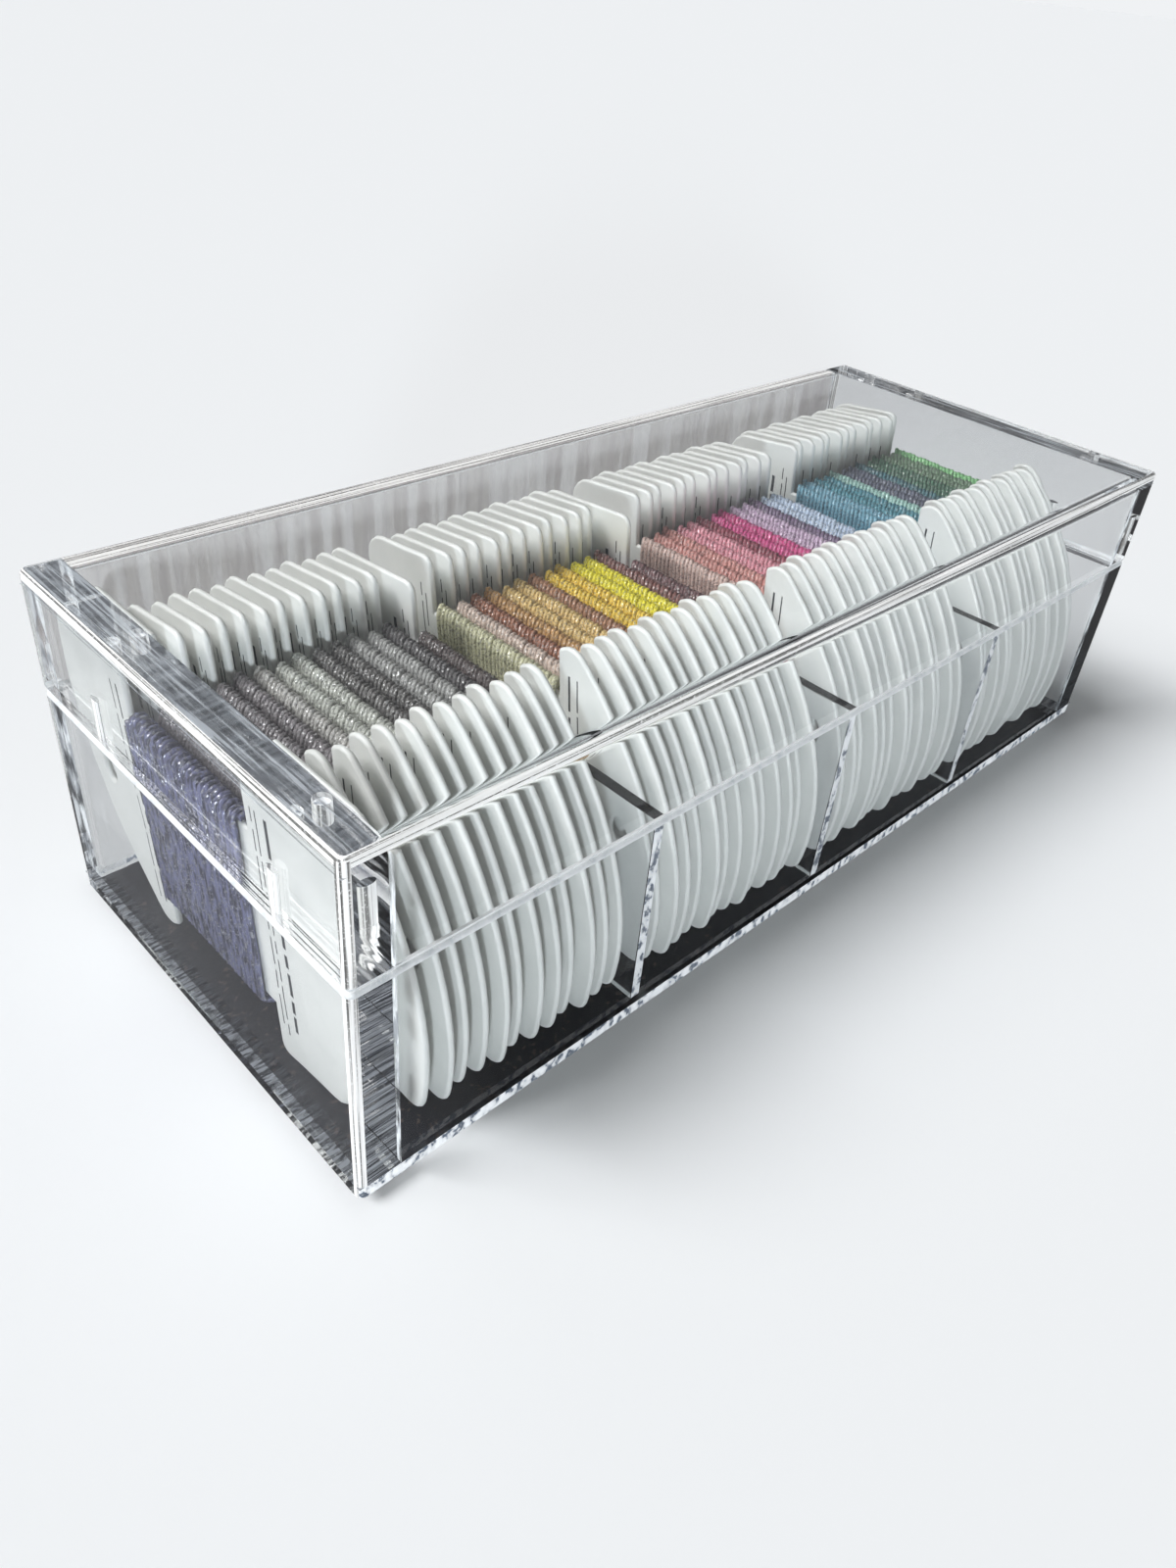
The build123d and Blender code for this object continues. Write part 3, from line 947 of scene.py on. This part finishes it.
@dataclass
class CardShape:
    """One card in its own plane: Y across, Z up from its foot, X through its thickness."""

    stock: Material = field(repr=False)
    ink: Material = field(repr=False)
    thickness: float = 1.3 * MM
    height: float = 66.5 * MM
    reach: float = 45.5 * MM
    waist_width: float = 38.5 * MM
    waist_margin: float = 12.75 * MM
    sail_belly: float = 18.5 * MM
    sail_top_reach: float = 4.0 * MM
    sail_tip_drop: float = 2.5 * MM
    sail_corner_radius: float = 3.0 * MM
    sail_flats: int = 14
    square_drop: float = 3.0 * MM
    square_taper: float = 4.0 * MM
    corner_radius: float = 5.0 * MM
    inner_radius: float = 2.5 * MM
    hole_from_end: float = 10.0 * MM
    hole_width: float = 4.2 * MM
    hole_height: float = 7.0 * MM
    edge_round: float = 0.6 * MM
    trim_depth: float = 8.0 * MM        # how far in from the waist's end a trim may reach
    ink_rise: float = 0.015 * MM
    rule_foot: float = 7.0 * MM         # lowest and highest ends of the rules
    rule_last_start: float = 9.0 * MM   # no rule starts nearer to the card's top

    def __post_init__(self) -> None:
        """Work out the waist's place."""
        self.half_waist = self.waist_width / 2
        self.waist_low = self.waist_margin
        self.waist_high = self.height - self.waist_margin

    def sail_points(self) -> list[tuple[float, float]]:
        """Points along the sail-shaped tab's curved edge, from the foot to the top."""
        rise = self.height - self.sail_belly
        run = self.reach - self.half_waist - self.sail_top_reach
        radius = (rise**2 + run**2) / (2 * run)
        low_turn = math.asin(-self.sail_belly / radius)
        high_turn = math.asin(rise / radius)
        points = []
        for step in range(self.sail_flats + 1):
            turn = low_turn + (high_turn - low_turn) * step / self.sail_flats
            across = radius * (1 - math.cos(turn)) - self.reach
            points.append((across, self.sail_belly + radius * math.sin(turn)))
        return points

    def stretch(self, low: float, high: float, new_low: float, new_high: float) -> None:
        """Scale what is selected upright, so that one span of heights becomes another."""
        share = (new_high - new_low) / (high - low)
        centre = (new_low - low * share) / (1 - share)
        bpy.ops.transform.resize(value=(1, 1, share), center_override=(0, 0, centre))

    def trim(self, blank: Object, side: int, start: Sequence[float],
             end: Sequence[float]) -> None:
        """Trim a tab along the line between two points of its outline.

        Args:
            blank: the card in edit mode.
            side: -1 for the sail-shaped tab and 1 for the square one.
            start: the line's first point, going clockwise round the card.
            end: its second point.
        """
        pick(blank, "FACE",
             lambda f: side * f.calc_center_median().y > self.half_waist - self.trim_depth
             and all(side * v.co.y > 0 for v in f.verts)
             and max(side * v.co.y for v in f.verts) > self.half_waist + MM / 2)
        outward = Vector((0, start[1] - end[1], end[0] - start[0])).normalized()
        bpy.ops.mesh.bisect(plane_co=(0, start[0], start[1]), plane_no=outward,
                            use_fill=True, clear_outer=True, threshold=TINY)

    def build(self, name: str, tab_extra: float = 0.0) -> Object:
        """Make the card from a bar across the waist.

        Args:
            name: the card's name.
            tab_extra: how much further in the square tab reaches.

        Returns:
            The card, upright on its foot.
        """
        half, low, high = self.half_waist, self.waist_low, self.waist_high
        right = half - tab_extra
        sail = self.sail_points()
        sail_tip = self.height - self.sail_tip_drop
        top_out = (self.reach - self.square_taper, self.height - self.square_drop)
        card = add_block(name, (-self.thickness / 2, -half, low),
                         (self.thickness / 2, right, high))
        with editing(card):
            pick(card, "FACE", lambda f: f.normal.y < -0.9)
            extrude()
            self.stretch(low, high, 0, sail_tip)
            extrude(y=-self.sail_top_reach)
            self.stretch(0, sail_tip, 0, self.height)
            extrude(y=half + self.sail_top_reach - self.reach)
            for start, end in zip(sail, sail[1:]):
                self.trim(card, -1, start, end)
            pick(card, "FACE", lambda f: f.normal.y > 0.9
                 and same(f.calc_center_median().y, right, SMALL))
            extrude()
            self.stretch(low, high, 0, self.height)
            extrude(y=self.reach - right)
            self.trim(card, 1, (right, self.height), top_out)
            self.trim(card, 1, top_out, (self.reach, 0))
            bpy.ops.mesh.select_all(action="SELECT")
            bpy.ops.mesh.remove_doubles(threshold=TINY)
            bpy.ops.mesh.dissolve_degenerate(threshold=TINY)
            bpy.ops.mesh.select_all(action="SELECT")
            bpy.ops.mesh.dissolve_limited(angle_limit=math.radians(0.5))
            for (across, up), radius, steps in (
                    (sail[0], self.sail_corner_radius, 4),
                    (sail[-1], self.sail_corner_radius, 5),
                    ((right, self.height), self.inner_radius, 3),
                    (top_out, self.corner_radius, 4),
                    ((self.reach, 0), self.corner_radius, 4)):
                bevel(card, lambda e: all(
                    math.hypot(v.co.y - across, v.co.z - up) < 0.3 * MM for v in e.verts),
                    radius, steps)
        self.punch(card)
        apply_modifier(card, "BEVEL", width=self.edge_round, segments=3, limit_method="ANGLE",
                       angle_limit=math.radians(50))
        smooth(card, 60)
        return self.with_rules(card, right)

    def with_rules(self, card: Object, right: float) -> Object:
        """Print plain broken rules on both tabs of the card's left face.

        Args:
            card: the card.
            right: where the square tab starts.

        Returns:
            The card, with the rules as its second material.
        """
        wander = random.Random(5)
        face = -self.thickness / 2
        rules = []
        for across, width in ((-self.half_waist - 3.0 * MM, 0.5 * MM),
                              (-self.half_waist - 5.2 * MM, 0.3 * MM),
                              (right + 2.2 * MM, 0.3 * MM), (right + 3.6 * MM, 0.3 * MM),
                              (right + 6.6 * MM, 0.9 * MM)):
            up = self.rule_foot
            while up < self.height - self.rule_last_start:
                length = (3 + 7 * wander.random()) * MM
                top = min(up + length, self.height - self.rule_foot)
                rules.append(add_block("rule", (face - self.ink_rise, across - width / 2, up),
                                       (face + self.ink_rise, across + width / 2, top)))
                up = top + (0.9 + 0.8 * wander.random()) * MM
        for rule in rules:
            dress(rule, self.ink)
        dress(card, self.stock)
        return join(card.name, [card, *rules])

    def punch(self, card: Object) -> None:
        """Punch the oval hang hole through the sail-shaped tab."""
        deselect()
        place = (0, self.hole_from_end - self.reach, self.height / 2)
        bpy.ops.mesh.primitive_cylinder_add(vertices=20, radius=0.5, depth=4 * self.thickness,
                                            location=place, rotation=(0, math.pi / 2, 0))
        punch = bpy.context.object
        punch.scale = (self.hole_height, self.hole_width, 1)
        bake_place()
        subtract(card, punch)


@dataclass
class WindingShape:
    """Thread wound round a card's waist in one unbroken strand."""

    card: CardShape
    thickness: float = 3.7 * MM
    over: float = 3.2 * MM              # how far the thread rises over the waist
    side_gap: float = 0.5 * MM
    strand_radius: float = 0.62 * MM
    loops: int = 31
    slant: float = 1.1 * MM
    slip: float = 0.22 * MM
    shake: float = 0.08 * MM
    sag: float = 0.18                   # share by which a loop may rise less
    turn: tuple[tuple[float, float], ...] = ((-0.62, 0.82), (0, 1), (0.62, 0.82))
    turn_foot: float = 0.3

    def path(self, tab_extra: float, wander: random.Random) -> list[Point]:
        """Points along the strand, from one tab to the other.

        Args:
            tab_extra: how much narrower the waist is.
            wander: seeded source of the loops' unevenness.

        Returns:
            The points, in metres.
        """
        low, high = self.card.waist_low, self.card.waist_high
        start = -self.card.half_waist + self.side_gap + self.strand_radius
        end = self.card.half_waist - tab_extra - self.side_gap - self.strand_radius
        pitch = (end - start) / self.loops
        reach = self.thickness / 2 - self.strand_radius
        crown = self.over - self.strand_radius
        foot = self.turn_foot * crown
        points = []
        for loop in range(self.loops):
            near = start + (loop + 0.5) * pitch
            lift = crown * (1 - self.sag * wander.random())
            slip = self.slip * (wander.random() - 0.5)
            over = [(share * reach, high + rise * lift) for share, rise in self.turn]
            under = [(-share * reach, low - rise * lift) for share, rise in self.turn]
            ring = [(-reach, low - foot), (-reach, high + foot), *over,
                    (reach, high + foot), (reach, low - foot), *under]
            for step, (x, z) in enumerate(ring):
                y = (near + slip + pitch * (step / len(ring) - 0.5)
                     + self.slant / 2 * x / reach * (z > high))
                shake = self.shake * (wander.random() - 0.5)
                points.append((x + shake, min(max(y, start), end), z))
        return points

    def build(self, name: str, tab_extra: float = 0.0, seed: int = 1) -> Object:
        """Make the winding as a tube along its path.

        Args:
            name: the winding's name.
            tab_extra: how much narrower the waist is.
            seed: seed of its unevenness.

        Returns:
            The winding as a mesh round the card's waist.
        """
        points = self.path(tab_extra, random.Random(seed))
        curve = bpy.data.curves.new(name, "CURVE")
        curve.dimensions = "3D"
        curve.bevel_depth = self.strand_radius
        curve.bevel_resolution = 1
        curve.use_fill_caps = True
        spline = curve.splines.new("POLY")
        spline.points.add(len(points) - 1)
        for point, place in zip(spline.points, points):
            point.co = (*place, 1)
        strand = bpy.data.objects.new(name, curve)
        bpy.context.scene.collection.objects.link(strand)
        activate(strand)
        bpy.ops.object.convert(target="MESH")
        strand = bpy.context.object
        bpy.ops.object.shade_smooth()
        return strand


@dataclass
class Rows:
    """Four rows of cards: where each card stands, and its shade."""

    card: CardShape
    winding: WindingShape
    compartment: float = 56.625 * MM
    divider: float = 2.5 * MM
    per_row: int = 13
    lean: float = 6.0                   # degrees, tops towards the left end
    first_row_lean: float = 5.0
    first_card_lean: float = 2.6
    seat_gap: float = 0.15 * MM
    shift: float = -1.0 * MM
    first_shift: float = 2.0 * MM
    stagger: float = 0.8 * MM
    side_gap: float = 0.35 * MM
    wide_extra: float = 7.0 * MM
    floor_top: float = 3.6 * MM
    divider_top: float = 49.5 * MM
    wide_shades: tuple[Shade, Shade] = (Shade.BLACK_BROWN, Shade.DARK_MAROON)

    def spot(self, row: int, place: int) -> Matrix:
        """Where a card stands.

        Args:
            row: the compartment, from 1 at the left.
            place: the card in its row, from 0.

        Returns:
            The matrix that takes a card from its own plane to its place.
        """
        steps = self.per_row - 1
        lean_start = math.radians(self.lean if row > 1 else self.first_card_lean)
        lean_end = math.radians(self.lean if row > 1 else self.first_row_lean)
        lean = lean_start + (lean_end - lean_start) * place / steps
        half = self.winding.thickness / 2 / math.cos(lean)
        over = self.winding.over
        rest = self.divider_top - self.floor_top if row > 1 else self.card.waist_high + over
        left = (row - 3) * (self.compartment + self.divider) + self.divider / 2
        first_foot = left + self.side_gap + half + rest * math.tan(lean_start)
        last_foot = left + self.compartment - self.side_gap - half
        last_foot += (self.card.waist_low - over) * math.tan(lean_end)
        foot = first_foot + (last_foot - first_foot) * place / steps
        foot_height = self.floor_top + self.seat_gap + self.card.thickness / 2 * math.sin(lean)
        shift = self.shift + self.stagger * math.sin(2.3 * place + 1.7 * (row - 1))
        return Matrix.Translation((foot, shift, foot_height)) @ Matrix.Rotation(-lean, 4, "Y")

    def first_spot(self) -> Matrix:
        """Where the first card stands, turned upside down about its length."""
        place = self.spot(1, 0)
        flip = Matrix.Translation((0, 0, self.card.height)) @ Matrix.Rotation(math.pi, 4, "X")
        move = Matrix.Translation((0, self.first_shift - place.translation.y, 0))
        return move @ place @ flip

    def stand(self, name: str, master: Object, spots: Sequence[Matrix], body: str,
              node: str) -> None:
        """Copy a card to each spot, join the copies into one piece and settle it for a node."""
        cards = join(name, [copy_to(master, spot) for spot in spots])
        settle(cards, body, "card", node)

    def wind(self, name: str, shade: Shade, windings: Sequence[Object], body: str) -> None:
        """Join the windings of a shade into one piece, dress it and settle it on a body."""
        wound = join(name, windings)
        dress(wound, shade.thread())
        settle(wound, body, shade.node, shade.node)

    def fill(self, row: int, plain: Object, wide: Object, ropes: Sequence[Object],
             wide_rope: Object) -> None:
        """Fill one row, without the first card.

        Args:
            row: the row, from 1 at the left.
            plain: the card that most places hold.
            wide: the card at the right of the first two rows.
            ropes: windings for the plain card, taken in turn.
            wide_rope: the wide card's winding.
        """
        body = f"card_row_{row}"
        shades = [shade for shade in Shade if shade.row == row and shade is not Shade.LAVENDER]
        place = self.per_row - sum(shade.cards for shade in shades)
        stood = []
        for shade in shades:
            if shade in self.wide_shades:
                continue
            places = range(place, place + shade.cards)
            spots = [self.spot(row, number) for number in places]
            windings = [copy_to(ropes[(number + row - 1) % len(ropes)], spot)
                        for number, spot in zip(places, spots)]
            self.wind(f"winding_{shade.name.lower()}", shade, windings, body)
            stood += spots
            place += shade.cards
        self.stand(f"white_cards_{row}", plain, stood, body, f"cards_row_{row}")
        if shades[-1] in self.wide_shades:
            last, shade = self.spot(row, place), shades[-1]
            self.stand(f"wide_tab_card_{row}", wide, [last], body, f"wide_card_{row}")
            self.wind(f"winding_{shade.name.lower()}", shade, [copy_to(wide_rope, last)], body)

    def build(self) -> None:
        """Make the cards and windings, fill the four rows and remove what was copied."""
        plain = self.card.build("plain_card")
        wide = self.card.build("wide_card", self.wide_extra)
        ropes = [self.winding.build(f"rope_{seed}", seed=seed) for seed in range(4)]
        wide_rope = self.winding.build("wide_rope", self.wide_extra, 9)
        first_winding = WindingShape(self.card, thickness=4.1 * MM, loops=28, over=2.2 * MM,
                                     slip=0.45 * MM)
        first_rope = first_winding.build("first_rope", seed=21)

        first = self.first_spot()
        self.stand("first_card_face", plain, [first], "card_row_1", "first_card")
        self.wind("first_card_winding", Shade.LAVENDER, [copy_to(first_rope, first)],
                  "card_row_1")
        for row in range(1, 5):
            self.fill(row, plain, wide, ropes, wide_rope)
        for master in (plain, wide, wide_rope, first_rope, *ropes):
            bpy.data.objects.remove(master)


# ------------------------------------------------------------------ studio

@dataclass
class Studio:
    """Pale floor, soft light and the camera."""

    backdrop: Colour = (0.871, 0.888, 0.905)
    sky_strength: float = 0.175
    sun_strength: float = 3.26
    sun_angle: float = 26.0
    sun_way: Point = (0.74, -0.54, -1.0)
    fill_strength: float = 1.8
    fill_colour: Colour = (0.86, 0.94, 1.0)
    fill_angle: float = 8.0
    fill_way: Point = (0.72, 0.70, -0.08)
    ceiling_shade: Colour = (0.13, 0.135, 0.145)
    ceiling_through: Colour = (0.10, 0.105, 0.12)
    ceiling_edge: tuple[float, float] = (0.16, 0.42)
    room_shade: Colour = (0.20, 0.20, 0.21)
    window: Point = (-0.62, 0.45, 0.64)
    window_edge: tuple[float, float] = (0.93, 0.95)
    window_strength: float = 2.0
    floor_size: float = 40.0
    floor_drop: float = 0.05 * MM
    focal_px: float = 1169.6
    centre_px: tuple[float, float] = (618.06, 772.76)
    azimuth: float = 47.8257
    elevation: float = 35.261
    roll: float = 6.27
    target: Point = (-34.33 * MM, -12.50 * MM, 30.6 * MM)
    distance: float = 250.4 * MM
    picture: tuple[int, int] = (1200, 1600)
    sensor_mm: float = 36.0

    def floor(self) -> None:
        """A wide pale floor under the object, which reflections see as a dim room's."""
        deselect()
        bpy.ops.mesh.primitive_plane_add(size=self.floor_size, location=(0, 0, -self.floor_drop))
        floor = bpy.context.object
        floor.name = "floor"
        n = Finish("studio_floor", base_color=self.backdrop, roughness=0.9,
                   specular_ior_level=0.0)
        depth = n.add("ShaderNodeLightPath").outputs["Glossy Depth"]
        n.swap(n.calc("GREATER_THAN", depth, NEXT_RAY),
               n.add("ShaderNodeBsdfDiffuse", self.room_shade).outputs[0])
        dress(floor, n.material)

    def sky(self) -> None:
        """An even pale sky, which reflections see as a dim room with one window."""
        world = bpy.data.worlds.new("studio_world")
        bpy.context.scene.world = world
        world.use_nodes = True
        n = Nodes(world.node_tree)
        n.tree.nodes.clear()
        path = n.add("ShaderNodeLightPath").outputs
        way = n.add("ShaderNodeTexCoord").outputs["Generated"]
        overhead = n.span(n.add("ShaderNodeSeparateXYZ", way).outputs["Z"], *self.ceiling_edge)
        facing = n.add("ShaderNodeVectorMath", way, Vector(self.window).normalized(),
                       operation="DOT_PRODUCT").outputs["Value"]
        unmirrored = n.calc("LESS_THAN", path["Glossy Depth"], NEXT_RAY)
        through = n.calc("MULTIPLY", path["Is Transmission Ray"], unmirrored)
        room = n.mix(overhead, n.mix(through, self.room_shade, self.backdrop),
                     n.mix(through, self.ceiling_shade, self.ceiling_through))
        reflected = n.between(n.span(facing, *self.window_edge), n.glow(room, 1.0),
                              n.glow(WHITE, self.window_strength))
        glossy = n.calc("MAXIMUM", path["Is Glossy Ray"], path["Is Transmission Ray"])
        first_hand = n.calc("LESS_THAN", path["Diffuse Depth"], NEXT_RAY)
        other = n.between(n.calc("MULTIPLY", glossy, first_hand),
                          n.glow(WHITE, self.sky_strength), reflected)
        shown = n.between(path["Is Camera Ray"], other, n.glow(self.backdrop, 1.0))
        n.add("ShaderNodeOutputWorld", shown)

    def lamps(self) -> None:
        """A soft lamp from behind the box, to the left, and a low fill from the front."""
        for name, strength, colour, angle, way in (
                ("soft_lamp", self.sun_strength, WHITE, self.sun_angle, self.sun_way),
                ("low_fill", self.fill_strength, self.fill_colour, self.fill_angle,
                 self.fill_way)):
            lamp = bpy.data.lights.new(name, "SUN")
            lamp.energy = strength
            lamp.angle = math.radians(angle)
            lamp.color = colour
            holder = bpy.data.objects.new(name, lamp)
            bpy.context.scene.collection.objects.link(holder)
            holder.rotation_euler = Vector(way).to_track_quat("-Z", "Y").to_euler()
            holder.visible_transmission = False

    def camera(self) -> None:
        """The camera, at the photograph's place."""
        around, above, roll = (math.radians(v) for v in (self.azimuth, self.elevation, self.roll))
        back = Vector((-math.sin(around) * math.cos(above), -math.cos(around) * math.cos(above),
                       math.sin(above)))
        eye = Vector(self.target) + self.distance * back
        right = (-back).cross(Vector((0, 0, 1))).normalized()
        up = right.cross(-back)
        side = math.cos(roll) * right + math.sin(roll) * up
        top = -math.sin(roll) * right + math.cos(roll) * up
        data = bpy.data.cameras.new("camera")
        camera = bpy.data.objects.new("camera", data)
        bpy.context.scene.collection.objects.link(camera)
        camera.matrix_world = Matrix((
            (side.x, top.x, back.x, eye.x),
            (side.y, top.y, back.y, eye.y),
            (side.z, top.z, back.z, eye.z),
            (0, 0, 0, 1)))
        wide, tall = self.picture
        data.sensor_fit = "HORIZONTAL"
        data.sensor_width = self.sensor_mm
        data.lens = self.focal_px / wide * self.sensor_mm
        data.shift_x = -(self.centre_px[0] - wide / 2) / wide
        data.shift_y = -(tall / 2 - self.centre_px[1]) / wide
        data.clip_start = MM
        data.clip_end = 100
        bpy.context.scene.camera = camera

    def build(self) -> None:
        """Set the floor, the lights and the camera."""
        self.floor()
        self.sky()
        self.lamps()
        self.camera()
        bpy.context.scene.view_settings.view_transform = "Standard"


def main() -> None:
    """Build every sub-assembly in order."""
    finishes = BoxFinishes.mix()
    Studio().build()
    dress(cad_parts["base_sheet"], BlackSheet("black_sheet").make())
    shells = Shells(finishes)
    shells.base()
    shells.lid()
    shells.joint_films()
    shells.pins()
    Dividers(finishes).build()
    card = CardShape(CardStock("card_stock").make(), PrintInk("print_ink").make())
    Rows(card, WindingShape(card)).build()


if __name__ == "__main__":
    main()
